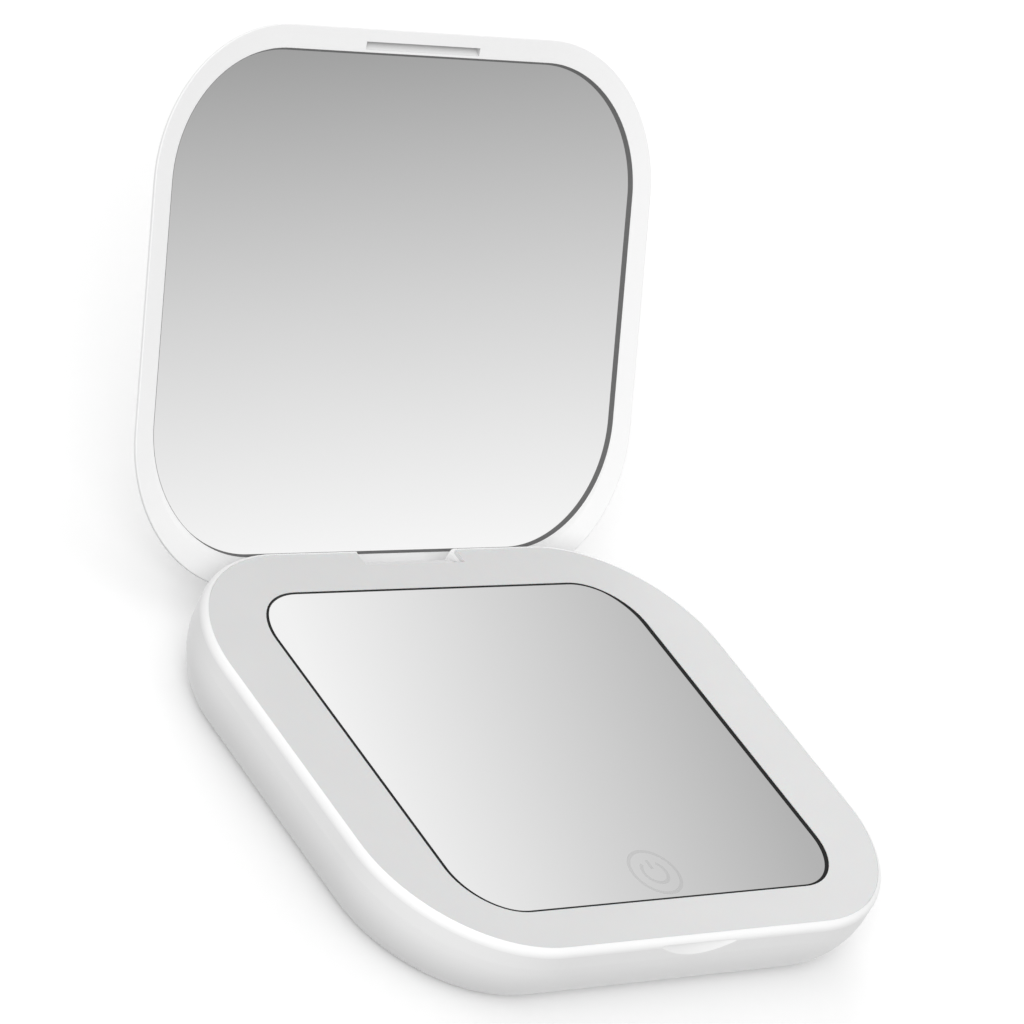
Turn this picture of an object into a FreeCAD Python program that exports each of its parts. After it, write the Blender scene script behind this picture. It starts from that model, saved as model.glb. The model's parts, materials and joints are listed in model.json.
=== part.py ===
"""Folding makeup mirror with a lit frame: base and lid of a rounded-rectangle compact.

The origin is the middle of the flat underside, +Z is up, +Y points to the hinge and -Y to the user.
The base rests on that underside and the lid stands open. The lid's pieces are drawn closed over the base
and then turned together about the hinge pin. Lengths are in millimetres.
"""
import FreeCAD, Part
import math
import os
import Sketcher

SIZES = [
    # Outline shared by base and lid
    ("case_width", 90.0),
    ("case_depth", 76.0),
    ("case_corner", 21.5),
    # Base shell
    ("base_height", 11.3),
    ("band_height", 1.3),
    ("foot_inset", 5.0),
    ("flank_radius", 11.0),
    ("foot_radius", 3.5),
    ("wall", 1.8),
    ("floor_thick", 1.6),
    ("cavity_fillet", 4.5),
    ("scoop_width", 13.6),
    ("scoop_depth", 1.0),
    ("scoop_height", 1.7),
    ("scoop_rise", 0.4),
    ("rib_thick", 1.4),
    ("rib_length", 4.0),
    ("overrun", 2.0),
    # Rim bezel and light frame
    ("lip_width", 0.75),
    ("lip_rise", 0.2),
    ("lip_round", 1.2),
    ("rebate_width", 2.0),
    ("skirt_drop", 1.4),
    ("seat_gap", 0.05),
    ("flange_thick", 0.6),
    ("diffuser_thick", 1.5),
    ("frame_side", 11.2),
    ("frame_front", 7.3),
    ("frame_rear", 8.1),
    ("opening_corner", 9.0),
    # Base mirror and its tray
    ("mirror_gap", 0.35),
    ("mirror_recess", 0.1),
    ("base_glass", 1.6),
    ("base_tape", 0.4),
    ("tape_inset", 1.2),
    ("tray_plate", 1.6),
    ("tray_wall", 1.4),
    ("touch_inset", 4.9),
    ("touch_diameter", 6.0),
    ("touch_gap", 0.5),
    # Light board
    ("led_board_thick", 0.8),
    ("led_board_drop", 1.0),
    ("led_board_gap", 0.3),
    ("led_length", 3.0),
    ("led_width", 1.4),
    ("led_height", 0.7),
    # Control board, socket and battery
    ("board_lift", 1.2),
    ("board_thick", 1.0),
    ("board_length", 35.0),
    ("board_depth", 24.0),
    ("board_gap", 0.3),
    ("board_edge", 0.2),
    ("chip_height", 1.2),
    ("arm_gap", 1.7),
    ("arm_depth", 13.0),
    ("arm_offset", 10.0),
    ("usb_length", 7.35),
    ("usb_width", 8.94),
    ("usb_height", 3.26),
    ("usb_wall", 0.3),
    ("usb_sunk", 0.8),
    ("usb_slot_gap", 0.2),
    ("usb_tongue", 0.7),
    ("usb_tongue_width", 6.7),
    ("battery_length", 42.0),
    ("battery_gap", 1.5),
    ("battery_thick", 3.0),
    ("battery_round", 1.2),
    ("battery_tape_thick", 0.3),
    ("battery_tape_inset", 3.0),
    ("lead_diameter", 1.0),
    ("lead_bend", 4.0),
    ("lead_room", 6.0),
    ("lead_inset", 9.5),
    ("lead_spacing", 2.0),
    ("lead_landing", 3.0),
    ("led_lead_gap", 4.4),
    ("led_lead_bend", 1.6),
    # Screws and bosses
    ("boss_diameter", 5.0),
    ("boss_inset_x", 16.5),
    ("boss_inset_y", 13.0),
    ("screw_diameter", 1.7),
    ("screw_length", 4.0),
    ("head_diameter", 3.4),
    ("head_height", 1.1),
    ("screw_gap", 0.02),
    ("board_boss_diameter", 4.0),
    ("board_screw_diameter", 1.4),
    ("board_screw_length", 2.8),
    ("board_head_diameter", 2.8),
    ("board_head_height", 0.9),
    ("board_screw_inset", 3.0),
    # Magnets
    ("magnet_length", 12.0),
    ("magnet_width", 2.5),
    ("magnet_height", 3.0),
    ("magnet_block_wall", 3.0),
    ("magnet_gap", 0.05),
    ("lid_magnet_height", 1.0),
    ("lid_magnet_inset", 5.2),
    # Hinge
    ("hinge_inset", 2.0),
    ("hinge_drop", 3.5),
    ("barrel_radius", 1.9),
    ("pin_radius", 0.75),
    ("pin_fit", 0.03),
    ("notch_width", 18.0),
    ("notch_inset", 3.25),
    ("notch_drop", 7.7),
    ("hinge_gap", 0.3),
    ("lug_width", 4.0),
    ("lug_wall", 1.0),
    ("block_gap", 0.1),
    ("open_angle", 123.0),
    # Lid
    ("lid_thick", 5.6),
    ("lid_gap", 0.3),
    ("lid_edge", 0.4),
    ("lid_round", 0.15),
    ("crown_radius", 18.0),
    ("lid_rim", 3.2),
    ("lid_hinge_rim", 4.4),
    ("lid_dish", 0.5),
    ("lid_recess", 0.75),
    ("lid_glass", 1.0),
    ("lid_tape", 0.15),
    ("lid_mirror_gap", 0.15),
    ("pull_width", 20.6),
    ("pull_inset", 1.75),
    ("pull_height", 1.1),
    ("pull_depth", 1.2),
]

# Places of repeated small parts, as shares of the half size that they follow
SIDE_LED_SHARES = (-0.48, -0.16, 0.16, 0.48)
FRONT_LED_SHARES = (-0.5, -0.25, 0.0, 0.25, 0.5)
REAR_LED_SHARES = (-0.5, 0.5)
SIDE_RIB_SHARES = (-0.08, 0.37)
END_RIB_SHARES = (-0.45, 0.45)
CHIP_PLACE_SHARES = ((0.42, 0.55), (0.72, 0.62), (0.72, 0.28))
CHIP_SIZE_SHARES = ((0.14, 0.17), (0.09, 0.13), (0.12, 0.12))
BOARD_SCREW_SHARE = 0.35
# Corner of a flat oval, as a share of its height
SLOT_ROUND_SHARE = 0.45
# Most of the bezel's band that the rounding of its outer edge may take
LIP_ROUND_SHARE = 0.95
# Two places nearer than this count as the same
NEAR = 1e-3


class Dim:
    """A length that carries its value and the sheet expression that it comes from."""

    def __init__(self, value, text):
        self.value = value
        self.text = text

    def __add__(self, other):
        other = as_dim(other)
        return Dim(self.value + other.value, f"({self.text} + {other.text})")

    def __sub__(self, other):
        other = as_dim(other)
        return Dim(self.value - other.value, f"({self.text} - {other.text})")

    def __mul__(self, factor):
        return Dim(self.value * factor, f"({self.text} * {factor})")

    __rmul__ = __mul__

    def __truediv__(self, factor):
        return Dim(self.value / factor, f"({self.text} / {factor})")

    def __neg__(self):
        return Dim(-self.value, f"(-{self.text})")


def as_dim(number):
    """A plain number, such as zero, as a length."""
    return number if isinstance(number, Dim) else Dim(float(number), str(number))


def lesser(first, second):
    """The smaller of two lengths."""
    return Dim(min(first.value, second.value), f"min({first.text}; {second.text})")


doc = FreeCAD.newDocument("lighted_makeup_mirror")
sheet = doc.addObject("Spreadsheet::Sheet", "Sizes")
for row, (alias, value) in enumerate(SIZES, start=1):
    sheet.set(f"A{row}", alias)
    sheet.set(f"B{row}", str(value))
    sheet.setAlias(f"B{row}", alias)
doc.recompute()

D = {alias: Dim(value, f"Sizes.{alias}") for alias, value in SIZES}
ZERO = as_dim(0)
parts = []


# Heights and places that several pieces share

half_width = D["case_width"] / 2
half_depth = D["case_depth"] / 2
opening_width = D["case_width"] - 2 * D["frame_side"]
opening_depth = D["case_depth"] - D["frame_front"] - D["frame_rear"]
opening_shift = (D["frame_rear"] - D["frame_front"]) / 2
rim_z = D["base_height"]
parting_z = rim_z - D["band_height"]
diffuser_top = rim_z - D["lip_rise"]
diffuser_z = diffuser_top - D["diffuser_thick"]
flange_z = diffuser_top - D["flange_thick"]
mirror_top = diffuser_top - D["mirror_recess"]
mirror_z = mirror_top - D["base_glass"]
tape_z = mirror_z - D["base_tape"]
tray_z = tape_z - D["tray_plate"]
led_board_top = diffuser_z - D["led_board_drop"]
led_board_z = led_board_top - D["led_board_thick"]
board_z = D["floor_thick"] + D["board_lift"]
board_top = board_z + D["board_thick"]
battery_z = D["floor_thick"] + D["battery_tape_thick"]
hinge_y = half_depth - D["hinge_inset"]
hinge_z = rim_z - D["hinge_drop"]
notch_y = half_depth - D["notch_inset"]
notch_z = rim_z - D["notch_drop"]
pocket_y = hinge_y - D["barrel_radius"] - D["hinge_gap"]
block_y = pocket_y - D["lug_wall"]
block_top = diffuser_z - D["block_gap"]
block_half = D["notch_width"] / 2 + D["lug_width"]
front_inner = half_depth - D["wall"]
skirt_inset = D["wall"] + D["seat_gap"]
rebate_inset = D["lip_width"] + D["rebate_width"]
tray_edge = D["tray_wall"] - D["mirror_gap"] / 2
led_board_edge = tray_edge + D["led_board_gap"]
led_board_side = half_width - D["frame_side"] + led_board_edge
led_board_front = half_depth - D["frame_front"] + led_board_edge
led_board_rear = half_depth - D["frame_rear"] + led_board_edge
touch_y = -(half_depth - D["frame_front"] - D["touch_inset"])
touch_hole = D["touch_diameter"] + 2 * D["touch_gap"]
boss_x = half_width - D["boss_inset_x"]
boss_y = half_depth - D["boss_inset_y"]
magnet_half = D["magnet_length"] / 2 + D["magnet_block_wall"]
magnet_half_slot = D["magnet_length"] / 2 + D["magnet_gap"]
board_right = boss_x - D["boss_diameter"] / 2 - D["board_gap"]
board_left = board_right - D["board_length"]
board_front = touch_y - D["touch_diameter"] / 2 - D["board_edge"]
board_rear = board_front + D["board_depth"]
arm_front = board_front + D["arm_offset"]
arm_rear = arm_front + D["arm_depth"]
arm_end = half_width - D["wall"] - D["arm_gap"]
battery_right = boss_x - D["boss_diameter"] / 2 - D["lead_room"]
battery_left = battery_right - D["battery_length"]
battery_front = board_rear + D["battery_gap"]
battery_rear = boss_y - D["boss_diameter"] / 2 - D["battery_gap"]
magnet_z = led_board_z - D["magnet_height"]
screw_seat = tape_z - D["head_height"]
lid_z = rim_z + D["lid_gap"]
lid_dish_z = lid_z + D["lid_dish"]
lid_glass_z = lid_dish_z + D["lid_recess"]
lid_tape_z = lid_glass_z + D["lid_glass"]
lid_floor_z = lid_tape_z + D["lid_tape"]
lid_top = lid_z + D["lid_thick"]
recess_shift = -(D["lid_hinge_rim"] - D["lid_rim"]) / 2


def bind(obj, **expressions):
    """Ties properties of an object to the sheet; a double underscore stands for a point in the path."""
    for name, length in expressions.items():
        obj.setExpression(name.replace("__", "."), as_dim(length).text)


def new_body(label):
    """A body whose label names its file."""
    body = doc.addObject("PartDesign::Body", label)
    body.Label = label
    parts.append(body)
    return body


def on_lid(obj):
    """Turns a piece that is drawn closed to the open lid's place, about the hinge pin."""
    centre = f"vector(0; {hinge_y.text}; {hinge_z.text})"
    turn = "rotation(vector(1; 0; 0); -Sizes.open_angle)"
    obj.setExpression("Placement", f"placement(vector(0; 0; 0); {turn}; {centre})")


def new_sketch(body, role, x=ZERO, y=ZERO, z=ZERO):
    """A sketch on one of the body's planes, shifted by x and y within the plane and z along its normal."""
    sketch = body.newObject("Sketcher::SketchObject", "sketch")
    plane = next(item for item in body.Origin.OriginFeatures if item.Role == role)
    sketch.AttachmentSupport = [(plane, "")]
    sketch.MapMode = "FlatFace"
    bind(sketch, AttachmentOffset__Base__x=x, AttachmentOffset__Base__y=y, AttachmentOffset__Base__z=z)
    return sketch


def drive(sketch, kind, name, elements, length):
    """A dimension in a sketch, tied to the sheet."""
    length = as_dim(length)
    index = sketch.addConstraint(Sketcher.Constraint(kind, *elements, length.value))
    sketch.renameConstraint(index, name)
    sketch.setExpression(f"Constraints.{name}", length.text)


def join(sketch, kind, *elements):
    """A geometric rule in a sketch, such as a tangent or a shared point."""
    sketch.addConstraint(Sketcher.Constraint(kind, *elements))


def point(x, y):
    return FreeCAD.Vector(as_dim(x).value, as_dim(y).value, 0)


def add_line(sketch, start, end):
    return sketch.addGeometry(Part.LineSegment(start, end), False)


def add_arc(sketch, centre, radius, start, end):
    circle = Part.Circle(centre, FreeCAD.Vector(0, 0, 1), radius)
    return sketch.addGeometry(Part.ArcOfCircle(circle, start, end), False)


def draw_rounded(sketch, width, depth, radius):
    """A rounded rectangle about the sketch's origin, which starts in the middle of its right side."""
    width, depth, radius = as_dim(width), as_dim(depth), as_dim(radius)
    x, y, r = width.value / 2, depth.value / 2, radius.value
    vec = FreeCAD.Vector
    upper = add_line(sketch, vec(x, 0, 0), vec(x, y - r, 0))
    arc_a = add_arc(sketch, vec(x - r, y - r, 0), r, 0, math.pi / 2)
    top = add_line(sketch, vec(x - r, y, 0), vec(r - x, y, 0))
    arc_b = add_arc(sketch, vec(r - x, y - r, 0), r, math.pi / 2, math.pi)
    left = add_line(sketch, vec(-x, y - r, 0), vec(-x, r - y, 0))
    arc_c = add_arc(sketch, vec(r - x, r - y, 0), r, math.pi, 1.5 * math.pi)
    bottom = add_line(sketch, vec(r - x, -y, 0), vec(x - r, -y, 0))
    arc_d = add_arc(sketch, vec(x - r, r - y, 0), r, 1.5 * math.pi, 2 * math.pi)
    lower = add_line(sketch, vec(x, r - y, 0), vec(x, 0, 0))
    ring = [upper, arc_a, top, arc_b, left, arc_c, bottom, arc_d, lower]
    for first, second in zip(ring, ring[1:]):
        join(sketch, "Tangent", first, 2, second, 1)
    join(sketch, "Coincident", lower, 2, upper, 1)
    join(sketch, "PointOnObject", upper, 1, -1)
    for side in (upper, left, lower):
        join(sketch, "Vertical", side)
    for side in (top, bottom):
        join(sketch, "Horizontal", side)
    for arc in (arc_b, arc_c, arc_d):
        join(sketch, "Equal", arc_a, arc)
    join(sketch, "Symmetric", arc_b, 3, arc_d, 3, -1, 1)
    drive(sketch, "DistanceX", "Width", (left, 1, upper, 2), width)
    drive(sketch, "DistanceY", "Depth", (bottom, 1, top, 1), depth)
    drive(sketch, "Radius", "Corner", (arc_a,), radius)
    return sketch


def draw_polygon(sketch, points):
    """A closed run of straight lines whose corners are tied to the sheet one by one."""
    corners = [(as_dim(x), as_dim(y)) for x, y in points]
    ends = corners[1:] + corners[:1]
    lines = [add_line(sketch, point(*start), point(*end)) for start, end in zip(corners, ends)]
    for first, second in zip(lines, lines[1:] + lines[:1]):
        join(sketch, "Coincident", first, 2, second, 1)
    for number, (line, (x, y)) in enumerate(zip(lines, corners)):
        if x is ZERO:
            join(sketch, "PointOnObject", line, 1, -2)
        else:
            drive(sketch, "DistanceX", f"X{number}at", (-1, 1, line, 1), x)
        if y is ZERO:
            join(sketch, "PointOnObject", line, 1, -1)
        else:
            drive(sketch, "DistanceY", f"Y{number}at", (-1, 1, line, 1), y)
    return sketch


def draw_rectangle(sketch, width, depth):
    """A plain rectangle about the sketch's origin."""
    x, y = as_dim(width) / 2, as_dim(depth) / 2
    return draw_polygon(sketch, [(-x, -y), (x, -y), (x, y), (-x, y)])


def draw_circle(sketch, diameter):
    """A circle about the sketch's origin."""
    diameter = as_dim(diameter)
    circle = Part.Circle(FreeCAD.Vector(0, 0, 0), FreeCAD.Vector(0, 0, 1), diameter.value / 2)
    index = sketch.addGeometry(circle, False)
    join(sketch, "Coincident", index, 3, -1, 1)
    drive(sketch, "Diameter", "Size", (index,), diameter)
    return sketch


def extrude(body, kind, sketch, length, reverse=False, both_ways=False):
    """A pad or a pocket of a sketch; a pocket that removes nothing is an error."""
    doc.recompute()
    before = body.Shape.Volume if body.Tip else 0.0
    feature = body.newObject(f"PartDesign::{kind}", kind)
    feature.Profile = sketch
    bind(feature, Length=length)
    feature.Reversed = reverse
    if both_ways:
        feature.SideType = "Symmetric"
    doc.recompute()
    if kind == "Pocket" and not feature.Shape.Volume < before:
        raise ValueError(f"a pocket in {body.Label} cuts nothing")
    return feature


def pad(body, sketch, length, **options):
    return extrude(body, "Pad", sketch, length, **options)


def pocket(body, sketch, length, **options):
    return extrude(body, "Pocket", sketch, length, **options)


def rounded_pad(body, width, depth, radius, low, high, y=ZERO):
    """A rounded plate between two heights."""
    sketch = draw_rounded(new_sketch(body, "XY_Plane", y=y, z=low), width, depth, radius)
    return pad(body, sketch, high - low)


def rounded_pocket(body, width, depth, radius, low, high, y=ZERO):
    """A rounded hollow between two heights."""
    sketch = draw_rounded(new_sketch(body, "XY_Plane", y=y, z=low), width, depth, radius)
    return pocket(body, sketch, high - low, reverse=True)


def block(body, kind, x_range, y_range, z_range):
    """A straight-sided pad or pocket between two places each way."""
    width, depth = x_range[1] - x_range[0], y_range[1] - y_range[0]
    middle_x, middle_y = (x_range[0] + x_range[1]) / 2, (y_range[0] + y_range[1]) / 2
    sketch = new_sketch(body, "XY_Plane", x=middle_x, y=middle_y, z=z_range[0])
    draw_rectangle(sketch, width, depth)
    return extrude(body, kind, sketch, z_range[1] - z_range[0], reverse=kind == "Pocket")


def round_column(body, kind, diameter, x, y, low, high):
    """A round pad or pocket between two heights."""
    sketch = draw_circle(new_sketch(body, "XY_Plane", x=x, y=y, z=low), diameter)
    return extrude(body, kind, sketch, high - low, reverse=kind == "Pocket")


def cross_bore(body, diameter, reach):
    """A hole along the hinge axis, as long either way from the middle."""
    sketch = draw_circle(new_sketch(body, "YZ_Plane", x=hinge_y, y=hinge_z), diameter)
    return pocket(body, sketch, 2 * reach, both_ways=True)


def sweep_cut(body, profile, z):
    """Takes a profile off all round the case outline."""
    path = new_sketch(body, "XY_Plane", z=z)
    draw_rounded(path, D["case_width"], D["case_depth"], D["case_corner"])
    doc.recompute()
    before = body.Shape.Volume
    pipe = body.newObject("PartDesign::SubtractivePipe", "sweep")
    pipe.Profile = profile
    pipe.Spine = (path, [])
    doc.recompute()
    if not pipe.Shape.Volume < before:
        raise ValueError(f"a sweep in {body.Label} cuts nothing")
    return pipe


def round_edges(body, radius, chosen):
    """A fillet on the edges of the body that a test picks out."""
    doc.recompute()
    base = body.Tip
    names = [f"Edge{number}" for number, edge in enumerate(base.Shape.Edges, start=1) if chosen(edge)]
    fillet = body.newObject("PartDesign::Fillet", "fillet")
    fillet.Base = (base, names)
    bind(fillet, Radius=radius)
    doc.recompute()
    return fillet


def edge_at(height, inset):
    """Picks the edges that lie level at a height, at an inset from the case outline."""
    def chosen(edge):
        box = edge.BoundBox
        level = abs(box.ZMin - height.value) < NEAR and abs(box.ZMax - height.value) < NEAR
        middle = edge.valueAt((edge.FirstParameter + edge.LastParameter) / 2)
        return level and abs(outline_inset(middle.x, middle.y) - inset.value) < NEAR
    return chosen


def outline_inset(x, y):
    """How far a point lies inside the case outline."""
    corner = D["case_corner"].value
    over_x = abs(x) - (half_width.value - corner)
    over_y = abs(y) - (half_depth.value - corner)
    if over_x > 0 and over_y > 0:
        return corner - math.hypot(over_x, over_y)
    return min(corner - over_x, corner - over_y)


def case_size(inset):
    """Width, depth and corner of the case outline, drawn in by an inset."""
    return D["case_width"] - 2 * inset, D["case_depth"] - 2 * inset, D["case_corner"] - inset


def opening_size(growth):
    """Width, depth and corner of the light frame's opening, made wider all round."""
    return opening_width + 2 * growth, opening_depth + 2 * growth, D["opening_corner"] + growth


def recess_size(inset):
    """Width, depth and corner of the lid's recess, drawn in by an inset; the rim is wider at the hinge."""
    width, depth, corner = case_size(D["lid_rim"] + inset)
    return width, depth + 2 * recess_shift, corner


def make_base_shell():
    """Cup with a rounded underside; block for the hinge, bosses, ribs and the magnet's block inside."""
    body = new_body("base_shell")
    over = D["overrun"]
    rounded_pad(body, *case_size(ZERO), ZERO, parting_z)
    rounded_pocket(body, *case_size(D["wall"]), D["floor_thick"], parting_z)
    round_edges(body, D["cavity_fillet"], edge_at(D["floor_thick"], D["wall"]))
    floor_low = D["floor_thick"] / 2
    rear_inner = half_depth - D["wall"] / 2
    block(body, "Pad", (-block_half, block_half), (block_y, rear_inner), (floor_low, block_top))
    block(body, "Pad", (-magnet_half, magnet_half), (-front_inner - D["wall"] / 2, -led_board_front),
          (floor_low, led_board_z))
    for x_share in (-1, 1):
        for share in SIDE_RIB_SHARES:
            side_rib(body, x_share, share * half_depth)
    for y_share in (-1, 1):
        for share in END_RIB_SHARES:
            end_rib(body, share * half_width, y_share)
    for x_share in (-1, 1):
        for y_share in (-1, 1):
            x, y = x_share * boss_x, y_share * boss_y
            round_column(body, "Pad", D["boss_diameter"], x, y, floor_low, tray_z)
    for x, y in board_screw_places():
        round_column(body, "Pad", D["board_boss_diameter"], x, y, floor_low, board_z)
    sweep_cut(body, draw_flank(body), ZERO)
    half_notch = D["notch_width"] / 2
    block(body, "Pocket", (-half_notch, half_notch), (pocket_y, half_depth + over), (notch_z, rim_z))
    cross_bore(body, 2 * D["pin_radius"], block_half + over)
    block(body, "Pocket", (-magnet_half_slot, magnet_half_slot), magnet_slot_y(), (magnet_z, rim_z))
    bore = D["screw_diameter"] + 2 * D["screw_gap"]
    for x_share in (-1, 1):
        for y_share in (-1, 1):
            bottom = screw_seat - D["screw_length"] - D["screw_gap"]
            round_column(body, "Pocket", bore, x_share * boss_x, y_share * boss_y, bottom, rim_z)
    small_bore = D["board_screw_diameter"] + 2 * D["screw_gap"]
    for x, y in board_screw_places():
        bottom = board_top - D["board_screw_length"] - D["screw_gap"]
        round_column(body, "Pocket", small_bore, x, y, bottom, rim_z)
    cut_socket_slot(body)
    cut_scoop(body, parting_z - D["scoop_height"], parting_z, taper=True)
    return body


def draw_flank(body):
    """What the rounded underside takes off a straight wall: outside of a long arc and a short one."""
    sketch = new_sketch(body, "XZ_Plane")
    reach = D["flank_radius"].value - D["foot_radius"].value
    turn = math.acos((D["flank_radius"].value - D["foot_inset"].value) / reach)
    start_z = D["foot_radius"].value + reach * math.sin(turn)
    wall_x = half_width.value
    over = D["overrun"].value
    vec = FreeCAD.Vector
    foot_x = wall_x - D["foot_inset"].value
    long_centre = vec(wall_x - D["flank_radius"].value, start_z, 0)
    short_centre = vec(foot_x, D["foot_radius"].value, 0)
    long_arc = add_arc(sketch, long_centre, D["flank_radius"].value, -turn, 0)
    short_arc = add_arc(sketch, short_centre, D["foot_radius"].value, -math.pi / 2, -turn)
    down = add_line(sketch, vec(foot_x, 0, 0), vec(foot_x, -over, 0))
    out = add_line(sketch, vec(foot_x, -over, 0), vec(wall_x + over, -over, 0))
    up = add_line(sketch, vec(wall_x + over, -over, 0), vec(wall_x + over, start_z, 0))
    back = add_line(sketch, vec(wall_x + over, start_z, 0), vec(wall_x, start_z, 0))
    join(sketch, "Tangent", long_arc, 1, short_arc, 2)
    join(sketch, "Coincident", short_arc, 1, down, 1)
    join(sketch, "Coincident", down, 2, out, 1)
    join(sketch, "Coincident", out, 2, up, 1)
    join(sketch, "Coincident", up, 2, back, 1)
    join(sketch, "Coincident", back, 2, long_arc, 2)
    for line in (down, up):
        join(sketch, "Vertical", line)
    for line in (out, back):
        join(sketch, "Horizontal", line)
    join(sketch, "Horizontal", long_arc, 2, long_arc, 3)
    join(sketch, "Vertical", short_arc, 1, short_arc, 3)
    drive(sketch, "Radius", "Flank", (long_arc,), D["flank_radius"])
    drive(sketch, "Radius", "Foot", (short_arc,), D["foot_radius"])
    drive(sketch, "DistanceX", "Wall", (-1, 1, back, 2), half_width)
    drive(sketch, "DistanceX", "Inset", (-1, 1, short_arc, 3), half_width - D["foot_inset"])
    drive(sketch, "DistanceY", "Rise", (-1, 1, short_arc, 3), D["foot_radius"])
    drive(sketch, "DistanceY", "Below", (out, 1, down, 1), D["overrun"])
    drive(sketch, "DistanceX", "Beyond", (-1, 1, up, 1), half_width + D["overrun"])
    return sketch


def magnet_slot_y():
    """Front and back of the slot for the base's magnet, in the middle of its block."""
    middle = -(led_board_front + front_inner) / 2
    half = D["magnet_width"] / 2 + D["magnet_gap"]
    return middle - half, middle + half


def side_rib(body, side, y):
    """A rib on a side wall that carries the light board."""
    inner = half_width - D["wall"] - D["rib_length"]
    outer = half_width - D["wall"] / 2
    x_range = (inner, outer) if side > 0 else (-outer, -inner)
    half = D["rib_thick"] / 2
    block(body, "Pad", x_range, (y - half, y + half), (D["floor_thick"] / 2, led_board_z))


def end_rib(body, x, side):
    """A rib on the front or rear wall that carries the light board."""
    inner = led_board_rear if side > 0 else led_board_front
    outer = half_depth - D["wall"] / 2
    y_range = (inner, outer) if side > 0 else (-outer, -inner)
    half = D["rib_thick"] / 2
    block(body, "Pad", (x - half, x + half), y_range, (D["floor_thick"] / 2, led_board_z))


def board_screw_places():
    """Where screws hold the control board: two along its rear edge, one further forward on the right."""
    step = D["board_screw_inset"]
    left, right, rear = board_left + step, board_right - step, board_rear - step
    return [(left, rear), (right, rear), (right, board_front + BOARD_SCREW_SHARE * D["board_depth"])]


def socket_place():
    """The socket's middle across the case and its height at the middle."""
    return (arm_front + arm_rear) / 2, board_top + D["usb_height"] / 2


def cut_socket_slot(body):
    """A rounded slot through the right wall for the charging socket."""
    y, z = socket_place()
    gap = D["usb_slot_gap"]
    width, height = D["usb_width"] + 2 * gap, D["usb_height"] + 2 * gap
    sketch = new_sketch(body, "YZ_Plane", x=y, y=z, z=half_width + D["overrun"])
    draw_rounded(sketch, width, height, SLOT_ROUND_SHARE * height)
    pocket(body, sketch, D["overrun"] + D["wall"] + D["cavity_fillet"])


def cut_scoop(body, low, high, taper):
    """A shallow lens in the front wall for a thumb, deepest under the rim."""
    half, depth = D["scoop_width"] / 2, D["scoop_depth"]
    radius = (half.value ** 2 + depth.value ** 2) / (2 * depth.value)
    radius_text = f"(({half.text} * {half.text} + {depth.text} * {depth.text}) / (2 * {depth.text}))"
    scoop_radius = Dim(radius, radius_text)
    middle_y = -(half_depth - depth) - scoop_radius
    sketch = draw_circle(new_sketch(body, "XY_Plane", y=middle_y, z=high), 2 * scoop_radius)
    feature = pocket(body, sketch, high - low)
    if taper:
        slope = f"-atan({depth.text} / {D['scoop_height'].text})"
        feature.setExpression("TaperAngle", slope)
        doc.recompute()
    return feature


def make_rim_bezel():
    """White ring on the shell: a raised lip, a rebate for the light frame and a skirt inside the wall."""
    body = new_body("rim_bezel")
    over = D["overrun"]
    rounded_pad(body, *case_size(ZERO), parting_z, rim_z)
    lip_round = lesser(D["lip_round"], LIP_ROUND_SHARE * D["band_height"])
    round_edges(body, lip_round, edge_at(rim_z, ZERO))
    rounded_pad(body, *case_size(skirt_inset), parting_z - D["skirt_drop"], parting_z)
    rounded_pocket(body, *case_size(D["lip_width"]), flange_z, rim_z)
    rounded_pocket(body, *case_size(rebate_inset), parting_z - D["skirt_drop"], rim_z)
    half_notch = D["notch_width"] / 2
    block(body, "Pocket", (-half_notch, half_notch), (notch_y, half_depth + over), (notch_z, rim_z))
    clear = block_half + D["block_gap"]
    block(body, "Pocket", (-clear, clear), (notch_y, half_depth + over), (notch_z, parting_z))
    cut_scoop(body, parting_z, parting_z + D["scoop_rise"], taper=False)
    return body


def make_light_diffuser():
    """Frosted frame: a thick body with a thin flange that lies in the rebate."""
    body = new_body("light_diffuser")
    rounded_pad(body, *case_size(rebate_inset + D["seat_gap"]), diffuser_z, diffuser_top)
    rounded_pad(body, *case_size(D["lip_width"] + D["seat_gap"]), flange_z, diffuser_top)
    rounded_pocket(body, *opening_size(ZERO), diffuser_z, diffuser_top, y=-opening_shift)
    half_notch = D["notch_width"] / 2
    block(body, "Pocket", (-half_notch, half_notch), (notch_y, half_depth), (notch_z, rim_z))
    return body


def make_base_mirror():
    """Glass plate that drops into the light frame's opening."""
    body = new_body("base_mirror")
    rounded_pad(body, *opening_size(-D["mirror_gap"]), mirror_z, mirror_top, y=-opening_shift)
    return body


def make_base_mirror_tape():
    """Foam tape behind the glass, open where the touch contact passes."""
    body = new_body("base_mirror_tape")
    size = opening_size(-D["mirror_gap"] - D["tape_inset"])
    rounded_pad(body, *size, tape_z, mirror_z, y=-opening_shift)
    round_column(body, "Pocket", touch_hole, ZERO, touch_y, tape_z, mirror_z)
    return body


def make_mirror_tray():
    """Dark plate under the glass, with a wall round it up to the light frame."""
    body = new_body("mirror_tray")
    shift = -opening_shift
    rounded_pad(body, *opening_size(tray_edge), tray_z, diffuser_z, y=shift)
    rounded_pocket(body, *opening_size(-D["mirror_gap"] / 2), tape_z, diffuser_z, y=shift)
    round_column(body, "Pocket", touch_hole, ZERO, touch_y, tray_z, tape_z)
    for x_share in (-1, 1):
        for y_share in (-1, 1):
            x, y = x_share * boss_x, y_share * boss_y
            hole = D["screw_diameter"] + 2 * D["screw_gap"]
            head = D["head_diameter"] + 2 * D["screw_gap"]
            round_column(body, "Pocket", hole, x, y, tray_z, tape_z)
            round_column(body, "Pocket", head, x, y, screw_seat, tape_z)
    return body


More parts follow.
